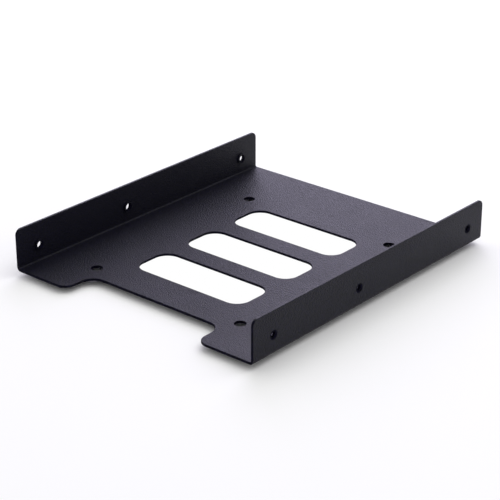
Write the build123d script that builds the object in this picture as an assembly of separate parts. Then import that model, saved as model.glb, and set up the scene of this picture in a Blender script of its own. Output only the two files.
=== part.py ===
from build123d import *
import os

# Drive bay adapter bracket: one folded sheet of steel, with a flange folded up along each side.
# A small drive is screwed down on the plate, and the flanges are screwed between the walls of a larger bay.
# Millimetres. X runs across, Y from the notched front end to the plain back end, Z up.
# The origin lies on the underside of the plate, midway between the sides and the ends.

# Sheet
SHEET = 0.9  # 0.8 mm steel with its powder coat on both faces
BEND_INSIDE = 0.6  # inside radius of the two folds
EDGE_ROUND = 0.18  # cut edges, rounded by deburring and by the coat
EDGE_BREAK = 0.15  # lower edges of the slots, deburred flat

# Overall
WIDTH = 101.0  # over the outer faces of the flanges
FLANGE_HEIGHT = 14.7  # underside of the plate to the top of the flanges
FLANGE_CORNER = 2.2

# Tapped holes of the bay screws, three in each flange, in the pattern of a large drive's sides
BAY_HOLES_FRONT = 9.4  # front end to the first hole
BAY_HOLES_MIDDLE = 41.6  # first hole to the middle one
BAY_HOLES_SPAN = 101.6  # first hole to the last
BAY_HOLES_BACK = 8.5  # last hole to the back end
BAY_HOLES_HEIGHT = 6.6
THREAD_DIAMETER = 3.0  # pitch diameter of the screw thread, where the bore is drawn
COLLAR_WALL = 0.45
COLLAR_RISE = 0.45  # how far the drawn collar stands in from the flange
LIP = 0.35  # drawing the collar rounds the outer face into the hole by this much

# Notch in the front end of the plate, which leaves a tab beside each flange
NOTCH_WIDTH = 55.8
NOTCH_DEPTH = 11.9
NOTCH_CORNER = 5.0
TAB_CORNER = 4.0

# Air slots across the plate
SLOT_COUNT = 3
SLOT_LENGTH = 45.7
SLOT_WIDTH = 15.9
SLOT_CORNER = 5.0
SLOT_WEB = 8.0  # bar left between two slots
NOTCH_TO_SLOT = 13.8

# Screw holes of the small drive, in the pattern of its underside
DRIVE_HOLES_ACROSS = 61.72
DRIVE_HOLES_ALONG = 76.6
DRIVE_HOLES_FRONT = 17.1  # front end to the front pair
DRIVE_HOLE_DIAMETER = 4.0  # free passage for an M3 screw

# Worked out from the sizes above
LENGTH = BAY_HOLES_FRONT + BAY_HOLES_SPAN + BAY_HOLES_BACK
FRONT = -LENGTH / 2
BEND_OUTSIDE = BEND_INSIDE + SHEET
BAY_HOLES_ALONG = [FRONT + BAY_HOLES_FRONT + step for step in (0, BAY_HOLES_MIDDLE, BAY_HOLES_SPAN)]
NOTCH_END = FRONT + NOTCH_DEPTH
SLOT_PITCH = SLOT_WIDTH + SLOT_WEB
FIRST_SLOT = NOTCH_END + NOTCH_TO_SLOT + SLOT_WIDTH / 2
DRIVE_HOLES_CENTRE = FRONT + DRIVE_HOLES_FRONT + DRIVE_HOLES_ALONG / 2
PAST = 2 * SHEET  # how far a cutter runs past the sheet
CUTTER = SHEET + 2 * PAST
SHARE = 0.48  # most of a side that the corner at one end of it may take
UNDERSIDE, TOP = 0, 1  # the two skins of the plate


def trough(width, length, radius):
    """Block as high as the flanges, with its two long lower edges rounded."""
    block = Box(width, length, FLANGE_HEIGHT, align=(Align.CENTER, Align.CENTER, Align.MIN))
    return fillet(block.edges().filter_by(Axis.Y).group_by(Axis.Z)[0], radius)


def folded_sheet():
    """The folded U, with the flanges' corners rounded."""
    hollow = Pos(0, 0, SHEET) * trough(WIDTH - 2 * SHEET, LENGTH + 2 * PAST, BEND_INSIDE)
    sheet = trough(WIDTH, LENGTH, BEND_OUTSIDE) - hollow
    return fillet(sheet.edges().filter_by(Axis.X).group_by(Axis.Z)[-1], FLANGE_CORNER)


def plate_corners(sheet):
    """Upright edges of the plate, away from the flanges, in rows from front to back."""
    side = NOTCH_WIDTH / 2 + PAST
    return sheet.edges().filter_by(Axis.Z).filter_by_position(Axis.X, -side, side).group_by(Axis.Y)


def notched(sheet):
    """The sheet with its front end opened between the tabs, and the notch's and the tabs' corners rounded."""
    sheet = sheet - Pos(0, FRONT, SHEET / 2) * Box(NOTCH_WIDTH, 2 * NOTCH_DEPTH, CUTTER)
    sheet = fillet(plate_corners(sheet)[-1], min(NOTCH_CORNER, SHARE * NOTCH_DEPTH))
    return fillet(plate_corners(sheet)[0], min(TAB_CORNER, SHARE * NOTCH_DEPTH))


def crosses_sheet(edge):
    """True for a straight edge that runs through the sheet from one skin to the other."""
    return edge.geom_type == GeomType.LINE and abs(edge.length - SHEET) < 0.001


def outline_rounded(sheet):
    """The sheet with both rims of its outline rounded, all the way round the plate and the flanges."""
    cut_faces = [face for face in sheet.faces() if any(crosses_sheet(edge) for edge in face.edges())]
    rims = [edge for face in cut_faces for edge in face.edges() if not crosses_sheet(edge)]
    return fillet(rims, EDGE_ROUND)


def slot_rims(sheet, skin):
    """Edges of the slots on one skin of the plate."""
    plate = sheet.faces().filter_by(Axis.Z).group_by(Axis.Z)[skin].face()
    return [edge for wire in plate.inner_wires() for edge in wire.edges()]


def slotted(sheet):
    """The sheet with its row of air slots, rounded on the top and deburred flat on the underside."""
    corner = min(SLOT_CORNER, SHARE * SLOT_WIDTH)
    slot = extrude(RectangleRounded(SLOT_LENGTH, SLOT_WIDTH, corner), CUTTER)
    sheet = sheet - [Pos(0, FIRST_SLOT + n * SLOT_PITCH, -PAST) * slot for n in range(SLOT_COUNT)]
    sheet = fillet(slot_rims(sheet, TOP), EDGE_ROUND)
    return chamfer(slot_rims(sheet, UNDERSIDE), EDGE_BREAK)


def drive_holes():
    """Plain screw holes in the plate, at the corners of a rectangle."""
    corners = GridLocations(DRIVE_HOLES_ACROSS, DRIVE_HOLES_ALONG, 2, 2)
    hole = Cylinder(DRIVE_HOLE_DIAMETER / 2, CUTTER)
    return [Pos(0, DRIVE_HOLES_CENTRE, SHEET / 2) * corner * hole for corner in corners]


def turned(profile):
    """Solid turned about the X axis from half its section, given as (X, radius) points."""
    return revolve(make_face(Polyline(*profile, close=True)), Axis.X)


def bay_collar():
    """Collar drawn inwards round a tapped hole of the right flange, whose outer face is at X = 0."""
    radius = THREAD_DIAMETER / 2 + COLLAR_WALL
    mouth = -SHEET - COLLAR_RISE
    return turned([(mouth, 0), (mouth, radius), (-SHEET / 2, radius), (-SHEET / 2, 0)])


def bay_bore():
    """Bore through a collar and its flange, with a lip in two flats where it meets the outer face."""
    radius = THREAD_DIAMETER / 2
    flat = LIP * (1 - 0.5**0.5)  # the flats meet on the quarter round that they follow
    mouth = -SHEET - COLLAR_RISE - PAST
    lip = [(-LIP, radius), (-flat, radius + flat), (0, radius + LIP)]
    return turned([(mouth, 0), (mouth, radius), *lip, (PAST, radius + LIP), (PAST, 0)])


def at_bay_holes(shape):
    """Copies of a shape at every bay hole: as drawn in the right flange, and mirrored in the left."""
    right = [Pos(WIDTH / 2, along, BAY_HOLES_HEIGHT) * shape for along in BAY_HOLES_ALONG]
    left = [mirror(copy, about=Plane.YZ) for copy in right]
    return right + left


def bracket():
    """The whole folded sheet, with its notch, slots, holes and collars."""
    sheet = slotted(outline_rounded(notched(folded_sheet())))
    sheet = sheet - drive_holes()
    sheet = sheet + at_bay_holes(bay_collar())
    return sheet - at_bay_holes(bay_bore())


os.makedirs("parts", exist_ok=True)
export_step(bracket(), "parts/bracket.step")
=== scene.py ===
import math

import bmesh
import bpy
from mathutils import Matrix, Vector


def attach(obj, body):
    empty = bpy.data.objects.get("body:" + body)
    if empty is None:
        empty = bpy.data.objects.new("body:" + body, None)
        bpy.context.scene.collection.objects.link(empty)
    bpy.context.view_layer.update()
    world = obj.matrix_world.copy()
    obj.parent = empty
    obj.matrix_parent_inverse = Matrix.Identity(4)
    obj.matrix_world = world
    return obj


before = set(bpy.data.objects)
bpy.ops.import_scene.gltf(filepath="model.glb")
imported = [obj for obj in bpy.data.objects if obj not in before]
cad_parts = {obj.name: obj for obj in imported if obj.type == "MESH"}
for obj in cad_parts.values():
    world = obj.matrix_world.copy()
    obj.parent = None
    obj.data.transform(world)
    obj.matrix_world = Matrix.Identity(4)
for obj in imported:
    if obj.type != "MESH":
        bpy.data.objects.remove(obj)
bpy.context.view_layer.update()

# A black powder-coated steel bracket on a white table, in a photographer's light tent.
# Metres, in the frame of the solids: X across, Y from the notched end to the back, Z up.

MM = 0.001
WHITE = "#FFFFFF"

# Where the photograph was taken from
CAMERA_PLACE = (332.788 * MM, -392.245 * MM, 235.278 * MM)
CAMERA_TURN = 40.447  # degrees, from looking along +Y towards looking along -X
CAMERA_DIP = 24.422  # degrees below level
CAMERA_ROLL = -0.015  # degrees
LENS = 122.236  # mm
SENSOR = 36.0  # mm wide

# Light tent. A glow of 1 is as bright as white paper under plain light.
TENT_GLOW = 0.65
ROOF_PLACE = (0, 0.5, 0.95)
ROOF_SIZE = (1.3, 1.0)
ROOF_GLOW = 0.95

# Softbox behind the bracket, which the plate mirrors towards the camera
SOFTBOX_TURN = 33.0  # degrees, from +Y towards -X
SOFTBOX_AWAY = 1.1
SOFTBOX_WIDTH = 1.0
SOFTBOX_HEIGHT = 0.9
SOFTBOX_GLOW = 2.2
SOFTBOX_COLOUR = "#E4DBFF"  # pale violet, which tints the sheen of the coat

# Table, with room under the bracket that lets its shadow spread as in the photograph
TABLE_SIZE = 6.0
TABLE_GAP = 1.8 * MM

# Painted white glow under the three slots, which hides the shadow there, clear of what shows through the
# drive's screw holes
SLOT_GLOW_ACROSS = 54.8 * MM
SLOT_GLOW_FRONT = -36.0 * MM
SLOT_GLOW_BACK = 34.2 * MM
SLOT_GLOW_ABOVE = 0.02 * MM  # the table

# Powder coat. The real grit is 0.1 to 0.3 mm across, too fine to show, so it is drawn at about 0.4 mm.
GRIT_SCALE = 2.6 / MM
GRIT_HEIGHT = 0.3 * MM
GRIT_HOLLOW = 0.46  # of the noise, below which the colour is the painted shade of the hollows
GRIT_CREST = 0.62  # of the noise, above which it is the grains'
CLOUD_SCALE = 0.06 / MM  # slow drift of the gloss, about 17 mm across
# The grit's colour mottles at random, and is also painted darker in the hollows of its bump, as shade
HOLLOW_PAINTED_SHADE_COLOUR = "#000008"
GRAIN_COLOUR = "#0E0C26"

# Walls that were sheared, and so have the duller coat
PLATE_TOP = 1.0 * MM  # just above the sheet, which is 0.9 mm thick
PLATE_REACH = 48.0 * MM  # from the middle, inside the bends
STEEP = 0.5  # share of a face's normal along an axis, from which it counts as facing that way

# Thread of the bay screws, 32 to the inch. Sizes by side have 1 for the right flange and -1 for the left.
THREAD_PITCH = 25.4 / 32 * MM
THREAD_CREST = {1: 1.06 * MM, -1: 1.2 * MM}  # radius: the right holes look almost closed
THREAD_ROOT = 1.61 * MM  # radius, sunk in the wall of the drawn bore
THREAD_ROOT_WIDTH = 0.7 * MM
THREAD_CREST_WIDTH = 0.16 * MM
THREAD_RUN_OUT = THREAD_ROOT_WIDTH * 0.45  # wound this far past each end, where it is cut off flat
THREAD_STEPS = 48  # to the turn
# Where the thread starts at the collar's mouth, turned to match what shows through the holes
THREAD_START = {1: math.radians(-45), -1: math.radians(162)}
FLANGE_FACE = 50.5 * MM  # its outer face, from the middle
COLLAR_MOUTH = 49.15 * MM  # inner end of the drawn collar
THREAD_END = FLANGE_FACE - 0.1 * MM  # just inside the flange's outer face
BAY_HOLES_ALONG = (-50.35 * MM, -8.75 * MM, 51.25 * MM)
BAY_HOLES_HEIGHT = 6.6 * MM
WELD = 0.001 * MM  # points closer than this are one


def linear(colour):
    """sRGB hex colour as linear RGBA."""
    channels = [int(colour[i:i + 2], 16) / 255 for i in (1, 3, 5)]
    return [c / 12.92 if c <= 0.04045 else ((c + 0.055) / 1.055) ** 2.4 for c in channels] + [1.0]


def add_node(material, kind, settings=None, links=None):
    """A node of one kind, with its settings or socket values, and its sockets linked from other nodes."""
    node = material.node_tree.nodes.new(kind)
    for name, value in (settings or {}).items():
        if name in node.inputs.keys():
            node.inputs[name].default_value = value
        else:
            setattr(node, name, value)
    for name, source in (links or {}).items():
        material.node_tree.links.new(source, node.inputs[name])
    return node


def new_material(name):
    """A material with an empty node tree."""
    material = bpy.data.materials.new(name)
    material.use_nodes = True
    material.node_tree.nodes.clear()
    return material


def powder_coat(name, smoothest, roughest, ior):
    """Black powder coat, baked on steel: fine grains with painted shade in the hollows between them, and a
    faint violet cast.
    """
    coat = new_material(name)
    place = add_node(coat, "ShaderNodeTexCoord").outputs["Object"]
    grit = add_node(coat, "ShaderNodeTexNoise", {
        "Scale": GRIT_SCALE,
        "Detail": 1.0,
        "Roughness": 0.6,
    }, {"Vector": place}).outputs["Fac"]
    cloud = add_node(coat, "ShaderNodeTexNoise", {
        "Scale": CLOUD_SCALE,
        "Detail": 3.0,
    }, {"Vector": place}).outputs["Fac"]
    speck = add_node(coat, "ShaderNodeMapRange", {
        "From Min": GRIT_HOLLOW,
        "From Max": GRIT_CREST,
    }, {"Value": grit})
    # mottled colour of the grit, with painted shade where its bump is low
    tone = add_node(coat, "ShaderNodeMix", {"data_type": "RGBA"}, {"Factor": speck.outputs["Result"]})
    tone.inputs["A"].default_value = linear(HOLLOW_PAINTED_SHADE_COLOUR)
    tone.inputs["B"].default_value = linear(GRAIN_COLOUR)
    gloss = add_node(coat, "ShaderNodeMapRange", {
        "To Min": smoothest,
        "To Max": roughest,
    }, {"Value": cloud})
    bump = add_node(coat, "ShaderNodeBump", {
        "Strength": 1.0,
        "Distance": GRIT_HEIGHT,
    }, {"Height": grit})
    shader = add_node(coat, "ShaderNodeBsdfPrincipled", {"IOR": ior}, {
        "Base Color": tone.outputs["Result"],
        "Roughness": gloss.outputs["Result"],
        "Normal": bump.outputs["Normal"],
    })
    add_node(coat, "ShaderNodeOutputMaterial", {}, {"Surface": shader.outputs["BSDF"]})
    return coat


def thread_ring(across, angle, crest):
    """Section of the ridge at one angle, cut off flat at the collar's mouth and near the flange's face."""
    half_root = THREAD_ROOT_WIDTH / 2
    half_crest = THREAD_CREST_WIDTH / 2
    ring = []
    for shift in (-half_root, -half_crest, half_crest, half_root):
        x = min(max(across + shift, COLLAR_MOUTH), THREAD_END)
        slope = max(0.0, abs(x - across) - half_crest) / (half_root - half_crest)
        at_root = abs(shift) > half_crest
        radius = THREAD_ROOT if at_root else crest + (THREAD_ROOT - crest) * slope
        ring.append((x, radius * math.cos(angle), radius * math.sin(angle)))
    return ring


def thread_ridge(name, along, side, coat):
    """Helical ridge inside one tapped hole."""
    start = COLLAR_MOUTH - THREAD_RUN_OUT
    end = THREAD_END + THREAD_RUN_OUT
    count = int((end - start) / THREAD_PITCH * THREAD_STEPS)
    mesh = bmesh.new()
    rings = []
    for i in range(count + 1):
        across = start + (end - start) * i / count
        angle = THREAD_START[side] + side * 2 * math.pi * (across - COLLAR_MOUTH) / THREAD_PITCH
        rings.append([
            mesh.verts.new((side * x, along + y, BAY_HOLES_HEIGHT + z))
            for x, y, z in thread_ring(across, angle, THREAD_CREST[side])
        ])
    for a, b in zip(rings, rings[1:]):
        for j in range(4):
            mesh.faces.new((a[j], a[(j + 1) % 4], b[(j + 1) % 4], b[j]))
    mesh.faces.new(rings[0])
    mesh.faces.new(reversed(rings[-1]))
    bmesh.ops.remove_doubles(mesh, verts=mesh.verts, dist=WELD)
    bmesh.ops.recalc_face_normals(mesh, faces=mesh.faces)
    data = bpy.data.meshes.new(name)
    mesh.to_mesh(data)
    mesh.free()
    data.materials.append(coat)
    ridge = bpy.data.objects.new(name, data)
    bpy.context.scene.collection.objects.link(ridge)
    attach(ridge, "root")


def dress_bracket(coat, edge_coat):
    """Coat all over, and the duller coat on the sheared walls of the plate and the ends of the flanges."""
    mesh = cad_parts["bracket"].data
    mesh.materials.clear()
    mesh.materials.append(coat)
    mesh.materials.append(edge_coat)
    for face in mesh.polygons:
        in_plate = face.center.z < PLATE_TOP and abs(face.center.x) < PLATE_REACH
        upright = abs(face.normal.z) < STEEP
        faces_end = abs(face.normal.y) > STEEP
        if (in_plate and upright) or faces_end:
            face.material_index = 1


def table():
    """White table top. The eye sees it as white paper, and it keeps the bracket's shadow."""
    paper = new_material("white_paper")
    shader = add_node(paper, "ShaderNodeBsdfDiffuse", {"Color": linear(WHITE)})
    add_node(paper, "ShaderNodeOutputMaterial", {}, {"Surface": shader.outputs["BSDF"]})
    bpy.ops.mesh.primitive_plane_add(size=TABLE_SIZE, location=(0, 0, -TABLE_GAP))
    sheet = bpy.context.object
    sheet.name = "table"
    sheet.data.materials.append(paper)


def painted_light_under_slots():
    """Painted light under the air slots: a sheet that glows plain white to the eye and in reflections, with
    no shadow, as in the photograph.
    """
    paper = new_material("painted_white_glow_under_slots")
    paper.cycles.emission_sampling = "NONE"  # it shows white but lights nothing
    matte = add_node(paper, "ShaderNodeBsdfDiffuse", {"Color": linear(WHITE)})
    # painted light: glows white to the camera and in reflections, where the bracket's shadow would show
    plain = add_node(paper, "ShaderNodeEmission", {"Color": linear(WHITE)})
    path = add_node(paper, "ShaderNodeLightPath")
    seen = path.outputs["Is Camera Ray"]
    for ray in ("Is Glossy Ray", "Is Transmission Ray"):
        either = add_node(paper, "ShaderNodeMath", {"operation": "MAXIMUM"}, {0: seen, 1: path.outputs[ray]})
        seen = either.outputs["Value"]
    shader = add_node(paper, "ShaderNodeMixShader", {}, {
        0: seen,
        1: matte.outputs["BSDF"],
        2: plain.outputs["Emission"],
    })
    add_node(paper, "ShaderNodeOutputMaterial", {}, {"Surface": shader.outputs["Shader"]})
    middle = (SLOT_GLOW_FRONT + SLOT_GLOW_BACK) / 2
    bpy.ops.mesh.primitive_plane_add(size=1.0, location=(0, middle, SLOT_GLOW_ABOVE - TABLE_GAP))
    sheet = bpy.context.object
    sheet.name = "painted_glow_sheet_under_slots"
    sheet.scale = (SLOT_GLOW_ACROSS, SLOT_GLOW_BACK - SLOT_GLOW_FRONT, 1)
    sheet.data.materials.append(paper)


def light(name, place, aim, size, glow, colour):
    """Soft rectangular lamp, lit but not seen itself."""
    lamp = bpy.data.lights.new(name, "AREA")
    lamp.shape = "RECTANGLE"
    lamp.size, lamp.size_y = size
    lamp.energy = 4 * size[0] * size[1] * glow
    lamp.color = linear(colour)[:3]
    holder = bpy.data.objects.new(name, lamp)
    bpy.context.scene.collection.objects.link(holder)
    holder.location = place
    holder.rotation_euler = (Vector(aim) - Vector(place)).to_track_quat("-Z", "Y").to_euler()
    holder.visible_camera = False


def studio():
    """Light tent: an even white surround, a brighter roof, and a softbox behind to the left."""
    world = bpy.data.worlds.new("light_tent")
    bpy.context.scene.world = world
    world.use_nodes = True
    surround = world.node_tree.nodes["Background"]
    surround.inputs["Color"].default_value = linear(WHITE)
    surround.inputs["Strength"].default_value = TENT_GLOW
    light("roof", ROOF_PLACE, (0, 0, 0), ROOF_SIZE, ROOF_GLOW, WHITE)
    turn = math.radians(SOFTBOX_TURN)
    middle = SOFTBOX_HEIGHT / 2
    place = (-SOFTBOX_AWAY * math.sin(turn), SOFTBOX_AWAY * math.cos(turn), middle)
    light("softbox", place, (0, 0, middle), (SOFTBOX_WIDTH, SOFTBOX_HEIGHT), SOFTBOX_GLOW, SOFTBOX_COLOUR)


def camera():
    """Camera where the photograph was taken from, with its turn, dip and roll."""
    turn, dip, roll = (math.radians(a) for a in (CAMERA_TURN, CAMERA_DIP, CAMERA_ROLL))
    back = Vector((math.sin(turn) * math.cos(dip), -math.cos(turn) * math.cos(dip), math.sin(dip)))
    right = (-back).cross(Vector((0, 0, 1))).normalized()
    up = right.cross(-back)
    right, up = right * math.cos(roll) + up * math.sin(roll), up * math.cos(roll) - right * math.sin(roll)
    data = bpy.data.cameras.new("camera")
    data.lens = LENS
    data.sensor_width = SENSOR
    holder = bpy.data.objects.new("camera", data)
    bpy.context.scene.collection.objects.link(holder)
    holder.matrix_world = Matrix.Translation(CAMERA_PLACE) @ Matrix((right, up, back)).transposed().to_4x4()
    bpy.context.scene.camera = holder


def main():
    # Satin black: a soft violet-grey sheen where the plate mirrors the softbox, and near black elsewhere.
    # The IOR is under the usual 1.5, matched to how dark the flanges are.
    coat = powder_coat("satin_black_powder_coat", smoothest=0.42, roughest=0.5, ior=1.3)
    # The coat pulls thin and dull over a sheared edge, so cut walls and threads stay dark beside the sheen
    edge_coat = powder_coat("thin_powder_coat_on_sheared_edges", smoothest=0.6, roughest=0.7, ior=1.15)
    dress_bracket(coat, edge_coat)
    for side, name in ((1, "right"), (-1, "left")):
        for along, where in zip(BAY_HOLES_ALONG, ("front", "middle", "back")):
            thread_ridge(f"thread_{name}_{where}", along, side, edge_coat)
    table()
    painted_light_under_slots()
    studio()
    camera()
    bpy.context.scene.view_settings.view_transform = "Standard"


main()
